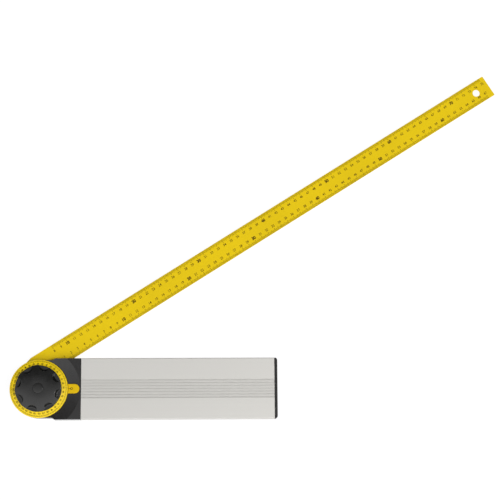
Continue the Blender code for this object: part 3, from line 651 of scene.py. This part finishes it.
def build_blade_print():
    ticks, numbers = Print(BLADE_HIGH.z), Print(BLADE_HIGH.z)
    for zero, first, last, edge, inward, row in (
        (OUTER_ZERO, OUTER_FIRST, OUTER_LAST, BLADE_OUTER, -1, OUTER_NUMBERS),
        (INNER_ZERO, INNER_FIRST, INNER_LAST, BLADE_INNER, 1, INNER_NUMBERS),
    ):
        blade_scale(ticks, numbers, zero, first, last, edge, inward, row)
    piece("blade_ticks", ticks.mesh("blade_ticks"), "blade", "scale_print", place=TURN)
    piece("blade_numbers", numbers.mesh("blade_numbers"), "blade", "scale_print", place=TURN)


# Dial

DIAL_FACE = 22.6 * MM
DIAL_FACE_START = 30.8 * MM
DIAL_SLOPE = 0.145
DIAL_BORE, DIAL_FLOOR = 4.6 * MM, 20.7 * MM
DIAL_LIP, DIAL_LIP_ROUND = 29.1 * MM, 0.6 * MM
DIAL_EDGE, DIAL_CHAMFER = 1.25 * MM, 0.3 * MM
DIAL_MARKS_END = 35.8 * MM
NUMBER_CIRCLE = 31.8 * MM
DIAL_NUMBER, DIAL_SQUEEZE = 2.3 * MM, 0.84
DIAL_WEIGHT, DIAL_BOLD = 0.03, 0.06


def build_dial():
    radius, low = DIAL_HIGH.x, DIAL_LOW.z
    lip, top, edge = DIAL_LIP, DIAL_FACE, DIAL_EDGE
    shoulder = top - DIAL_SLOPE * (radius - edge - DIAL_FACE_START)
    profile = [
        (DIAL_BORE, DIAL_FLOOR),
        (lip - 0.7 * MM, DIAL_FLOOR),
        (lip - 0.15 * MM, DIAL_FLOOR + 0.15 * MM),
        (lip, DIAL_FLOOR + 0.5 * MM),
        (lip, top),
        *arc((lip + DIAL_LIP_ROUND, top - 0.1 * MM), DIAL_LIP_ROUND, 170, 40, 10),
        (DIAL_FACE_START - 0.25 * MM, top + 0.06 * MM),
        (DIAL_FACE_START, top),
        *arc((radius - edge, shoulder - edge), edge, 80, 0, 10),
        (radius, low + DIAL_CHAMFER),
        (radius - DIAL_CHAMFER, low),
        (DIAL_BORE, low),
    ]
    piece("dial", turned("dial", profile, 180), "blade", "yellow_plastic", ["dial_ring"], TURN)
    ticks = Print(top, DIAL_FACE_START, DIAL_SLOPE)
    numbers = Print(top, DIAL_FACE_START, DIAL_SLOPE)
    for degree in range(360):
        inner, width = mark_at(degree, DIAL_MARKS)
        ticks.bar(inner, DIAL_MARKS_END, -width / 2, width / 2, math.radians(degree))
    for degree in range(0, 360, 10):
        value = min(degree, 360 - degree)
        turn = -math.radians(degree)
        x, y = NUMBER_CIRCLE * math.cos(turn), NUMBER_CIRCLE * math.sin(turn)
        weight = DIAL_BOLD if value in (0, 90) else DIAL_WEIGHT
        numbers.write(str(value), x, y, DIAL_NUMBER, weight, turn - math.pi / 2, DIAL_SQUEEZE)
    for name, printed in (("dial_ticks", ticks), ("dial_numbers", numbers)):
        piece(name, printed.mesh(name), "blade", "dial_print", place=TURN)


# The index mark: a line, then a ring
INDEX_START, INDEX_END, INDEX_HALF = 37.9 * MM, 40.4 * MM, 0.26 * MM
MARK_CENTRE = (41.8 * MM, 0)
MARK_RADII = (1.6 * MM, 0.9 * MM)
MARK_SIDES = 32


def build_index_mark():
    mark = Print(TAB_HIGH.z)
    mark.bar(INDEX_START, INDEX_END, -INDEX_HALF, INDEX_HALF)
    outer, inner = (circle(MARK_CENTRE, radius, MARK_SIDES) for radius in MARK_RADII)
    for i in range(MARK_SIDES):
        j = (i + 1) % MARK_SIDES
        mark.slab([inner[i], outer[i], outer[j], inner[j]])
    piece("index_mark", mark.mesh("index_mark"), "stock", "dial_print")


# Knob

SCALLOPS = 8
SCALLOP_PHASE = 30
SCALLOP_CORE, SCALLOP_REACH = 10, 17  # degrees off its middle: fine steps within, and plain beyond
SCALLOP_FLOOR = 25.45 * MM
SCALLOP_SOFT = 0.8 * MM
SCALLOP_FADE = 2.2 * MM  # a scoop this deep has its full shape
UPPER_SCOOP = (28.2 * MM, 6.3 * MM)  # how far out the scoop's circle is, and its radius, at the top
LOWER_SCOOP = (34.0 * MM, 9.4 * MM)  # and at its floor


def smooth_min(first, second, reach):
    blend = max(reach - abs(first - second), 0) / reach
    return min(first, second) - blend * blend * reach / 4


def scooped(radius, off, scoop, soft):
    """A radius cut back by a scoop whose middle is off by that angle."""
    far, size = scoop
    reach = size**2 - (far * math.sin(off)) ** 2
    if reach <= 0:
        return radius
    return smooth_min(radius, far * math.cos(off) - math.sqrt(reach), soft)


def spaced(start, end, count):
    return [start + (end - start) * i / count for i in range(count)]


def scoop_path(wall, floor, crown, rim, share):
    """Down the scoop: over its edge, down the slope, then out along the floor to the rim."""
    knots = (  # share of the way, radius and height
        (0, wall, crown),
        (0.08, wall + 0.18 * MM, crown - 0.06 * MM),
        (0.16, wall + 0.34 * MM, crown - 0.3 * MM),
        (0.22, wall + 0.48 * MM, crown - 0.62 * MM),
        (0.55, floor - 0.3 * MM, SCALLOP_FLOOR + 0.6 * MM),
        (0.62, floor, SCALLOP_FLOOR + 0.14 * MM),
        (0.7, floor + 0.4 * MM, SCALLOP_FLOOR),
        (0.85, rim - 0.3 * MM, SCALLOP_FLOOR),
        (0.93, rim - 0.08 * MM, SCALLOP_FLOOR - 0.05 * MM),
        (1, rim, SCALLOP_FLOOR - 0.25 * MM),
    )
    for (start, r0, z0), (end, r1, z1) in zip(knots, knots[1:]):
        if share <= end:
            t = (share - start) / (end - start)
            return r0 + (r1 - r0) * t, z0 + (z1 - z0) * t
    return knots[-1][1:]


CROWN_START, CROWN_END, CROWN_FALL = 9 * MM, 28.3 * MM, 1.5 * MM
CROWN_RINGS = (9, 12, 15, 18, 20)  # round rings, in mm; from the last, the rings follow the scoops
RIM_HEIGHT = 28.6 * MM
RIM_WIDTH = 1.2 * MM
SKIRT_HEIGHT = 24.6 * MM
FOOT = 28.3 * MM
RIM_STEPS = 24
RECESS, RECESS_CHAMFER = 6.7 * MM, 0.15 * MM  # for the disc in the middle
UNDERSIDE = (  # radius and height, in mm, from the foot in to the axis
    (25.1, 21.0),
    (25.1, 23.3),
    (18.6, 25.3),
    (18.6, 27.8),
    (10.3, 27.8),
    (10.3, 22.7),
    (6.9, 22.7),
    (6.9, 28.7),
    (0, 28.7),
)


def crown_drop(radius):
    """How far the knob's domed top has fallen at a radius."""
    return CROWN_FALL * (max(radius - CROWN_START, 0) / (CROWN_END - CROWN_START)) ** 2


def build_knob():
    pitch = 360 / SCALLOPS
    core, reach = SCALLOP_CORE, SCALLOP_REACH
    sector = spaced(-pitch / 2, -reach, 5) + spaced(-reach, -core, 12) + spaced(-core, core, 24)
    sector += spaced(core, reach, 12) + spaced(reach, pitch / 2, 5)
    offs = [math.radians(offset) for _ in range(SCALLOPS) for offset in sector]
    turns = []
    for i in range(SCALLOPS):
        for offset in sector:
            angle = math.radians(SCALLOP_PHASE + pitch * i + offset)
            turns.append((math.cos(angle), math.sin(angle)))
    top, rim, low = KNOB_HIGH.z, KNOB_HIGH.x, KNOB_LOW.z
    shoulder = rim - RIM_WIDTH
    lip = rim - 0.35 * MM

    def ring(radius, z):
        return [(radius * c, radius * s, z) for c, s in turns]

    upper = [scooped(shoulder, off, UPPER_SCOOP, SCALLOP_SOFT) for off in offs]
    floor = [scooped(lip, off, LOWER_SCOOP, SCALLOP_SOFT) for off in offs]
    floor = [max(f, w) for f, w in zip(floor, upper)]
    depth = [min(1, max(0, (shoulder - w) / SCALLOP_FADE)) for w in upper]
    depth = [d * d * (3 - 2 * d) for d in depth]

    def reaching(t):
        """A ring on the crown, between its round part and the scooped edge."""
        round_part = CROWN_RINGS[-1] * MM
        radii = [round_part + (w - round_part - 0.3 * MM) * t for w in upper]
        return [(r * c, r * s, top - crown_drop(r)) for r, (c, s) in zip(radii, turns)]

    def blended(share):
        """A ring between the crown's edge, at a share of 0, and the rim, at 1."""
        points = []
        for (c, s), w, f, d in zip(turns, upper, floor, depth):
            crown = top - crown_drop(w)
            plain_r = w + (rim - w) * math.sin(share * math.pi / 2)
            plain_z = RIM_HEIGHT + (crown - RIM_HEIGHT) * math.cos(share * math.pi / 2)
            scoop_r, scoop_z = scoop_path(w, f, crown, rim, share)
            r = plain_r + (scoop_r - plain_r) * d
            z = plain_z + (scoop_z - plain_z) * d
            points.append((r * c, r * s, z))
        return points

    recess = KNOB_CAP_LOW.z - 0.3 * MM
    rows = [
        ring(0, recess),
        ring(RECESS, recess),
        ring(RECESS, top - RECESS_CHAMFER),
        ring(RECESS + RECESS_CHAMFER, top),
    ]
    rows += [ring(r * MM, top - crown_drop(r * MM)) for r in CROWN_RINGS]
    rows += [reaching(t) for t in (0.25, 0.5, 0.75, 1)]
    rows += [blended(step / RIM_STEPS) for step in range(RIM_STEPS + 1)]
    rows += [ring(rim - 0.1 * MM, SKIRT_HEIGHT)]
    rows += [ring(FOOT + 0.06 * MM, low + 0.3 * MM), ring(FOOT - 0.25 * MM, low)]
    rows += [ring(r * MM, z * MM) for r, z in UNDERSIDE]
    piece("knob_grip", lofted("knob", rows, closed=False), "knob", "knob_plastic", ["knob"])
    radius, high, edge = KNOB_CAP_HIGH.x, KNOB_CAP_HIGH.z, 0.35 * MM
    profile = [
        (0, high),
        (2.5 * MM, high - 0.01 * MM),
        (4.6 * MM, high - 0.04 * MM),
        (5.7 * MM, high - 0.1 * MM),
        *arc((radius - edge, high - edge - 0.1 * MM), edge, 90, 0, 5),
        (radius, KNOB_CAP_LOW.z),
        (0, KNOB_CAP_LOW.z),
    ]
    piece("knob_centre", turned("knob_centre", profile, 64), "knob", "knob_plastic", ["knob_cap"])


# Fastenings and the parts inside

BOLT_EDGE, SCREW_EDGE = 0.3 * MM, 0.12 * MM
KEPT_FINISHES = {
    "thrust_washer": "zinc_steel",
    "knob_insert": "brass",
    "back_friction_ring": "friction_fibre",
    "front_glide_ring": "white_nylon",
    "dial_hub": "black_plastic",
}


def build_small_parts():
    piece("bolt", softened("clamp_bolt", BOLT_EDGE, 3), "stock", "zinc_steel", ["clamp_bolt"])
    for i in (1, 2):
        for kind in ("shell_screw", "stock_screw"):
            node = f"{kind}_{i}"
            piece(f"{node}_turned", softened(node, SCREW_EDGE), "stock", "zinc_steel", [node])
    for kind in ("hub_rivet", "dial_screw"):
        for i in (1, 2, 3):
            KEPT_FINISHES[f"{kind}_{i}"] = "zinc_steel"
    for node, finish in KEPT_FINISHES.items():
        kept = frame["nodes"][node]
        for i in range(len(kept.material_slots)):
            kept.material_slots[i].link = "OBJECT"
            kept.material_slots[i].material = FINISHES[finish]


# Stage

FLOOR_COLOR = (0.14, 0.14, 0.14)
FLOOR_GLOW = 0.92
FLOOR_REACH = 6
FLOOR_DROP = 0.3 * MM
WHITE = (1.0, 1.0, 1.0, 1)
SKY_SIDE = (-0.1, -0.995, 0.0)  # the side that the wide soft light hangs over
SKY_EDGE = (-0.15, 0.03)  # how far towards that side the light starts and is full
SKY_RISE = (0.1, 0.75)  # how high it starts and is full
SKY_FOOT = (0.02, 0.12)  # how high the glow at the horizon is full and ends
SKY_DIM, SKY_BRIGHT, SKY_LOW, SKY_HORIZON = 0.12, 1.35, 0.4, 0.4
KEY_PLACE, KEY_AIM = (17.4, -1.5, 24.9), (0.28, 0.12, 0)
KEY_SIZE, KEY_POWER = 12.0, 4020
CAMERA_PLACE = (0.2031068, -0.1632091, 1.9302818)
CAMERA_PITCH = math.radians(10.1692)
CAMERA_ROLL = math.radians(-0.4224)
CAMERA_YAW = math.radians(-2.0361)
CAMERA_LENS = 107.263


def build_floor():
    bm = bmesh.new()
    bmesh.ops.create_grid(bm, x_segments=1, y_segments=1, size=FLOOR_REACH)
    mesh = bpy.data.meshes.new("floor")
    bm.to_mesh(mesh)
    bm.free()
    floor = guide_object("floor", mesh)
    floor.location.z = -FLOOR_DROP
    pale = Finish("floor", FLOOR_COLOR, 0.9, specular=0.0)
    pale.use(pale.mix(pale.noise(3, 2), FLOOR_COLOR, shade(FLOOR_COLOR, 1.03)))
    pale.set(pale.shader, "Emission Color", WHITE)
    pale.set(pale.shader, "Emission Strength", FLOOR_GLOW)
    mesh.materials.append(pale.material)


def build_sky():
    """Half a dome of soft light over one side, softer towards the horizon."""
    world = bpy.data.worlds.new("studio")
    bpy.context.scene.world = world
    world.use_nodes = True
    nodes, links = world.node_tree.nodes, world.node_tree.links
    background = nodes["Background"]
    background.inputs["Color"].default_value = WHITE
    direction = nodes.new("ShaderNodeTexCoord").outputs["Generated"]
    side = nodes.new("ShaderNodeVectorMath")
    side.operation = "DOT_PRODUCT"
    side.inputs[1].default_value = SKY_SIDE
    height = nodes.new("ShaderNodeSeparateXYZ")
    links.new(direction, side.inputs[0])
    links.new(direction, height.inputs["Vector"])
    lift, brighter = nodes.new("ShaderNodeMath"), nodes.new("ShaderNodeMath")
    lift.operation, brighter.operation = "MULTIPLY", "MAXIMUM"
    for value, limits, levels, target in (
        (side.outputs["Value"], SKY_EDGE, (SKY_DIM, SKY_BRIGHT), lift.inputs[0]),
        (height.outputs["Z"], SKY_RISE, (SKY_LOW, 1), lift.inputs[1]),
        (height.outputs["Z"], SKY_FOOT, (SKY_HORIZON, 0), brighter.inputs[1]),
    ):
        ramp = nodes.new("ShaderNodeMapRange")
        ramp.interpolation_type = "SMOOTHSTEP"
        links.new(value, ramp.inputs["Value"])
        sockets = ("From Min", "From Max", "To Min", "To Max")
        for socket, number in zip(sockets, (*limits, *levels)):
            ramp.inputs[socket].default_value = number
        links.new(ramp.outputs["Result"], target)
    links.new(lift.outputs["Value"], brighter.inputs[0])
    links.new(brighter.outputs["Value"], background.inputs["Strength"])


def build_light():
    light = bpy.data.lights.new("key", "AREA")
    light.size = KEY_SIZE
    light.energy = KEY_POWER
    lamp = guide_object("key", light)
    lamp.location = KEY_PLACE
    aim = Vector(KEY_AIM) - lamp.location
    lamp.rotation_euler = aim.to_track_quat("-Z", "Y").to_euler()


def build_camera():
    camera_data = bpy.data.cameras.new("camera")
    camera_data.sensor_width = 36
    camera_data.lens = CAMERA_LENS
    camera_data.clip_start = 0.05
    camera_data.clip_end = 20
    camera = guide_object("camera", camera_data)
    rotation = (
        Matrix.Rotation(CAMERA_YAW, 4, "Y")
        @ Matrix.Rotation(CAMERA_PITCH, 4, "X")
        @ Matrix.Rotation(CAMERA_ROLL, 4, "Z")
    )
    camera.matrix_world = Matrix.Translation(CAMERA_PLACE) @ rotation
    bpy.context.scene.camera = camera
    bpy.context.scene.view_settings.view_transform = "Standard"


build_stock()
build_head()
build_blade()
build_blade_print()
build_dial()
build_index_mark()
build_knob()
build_small_parts()
build_floor()
build_sky()
build_light()
build_camera()
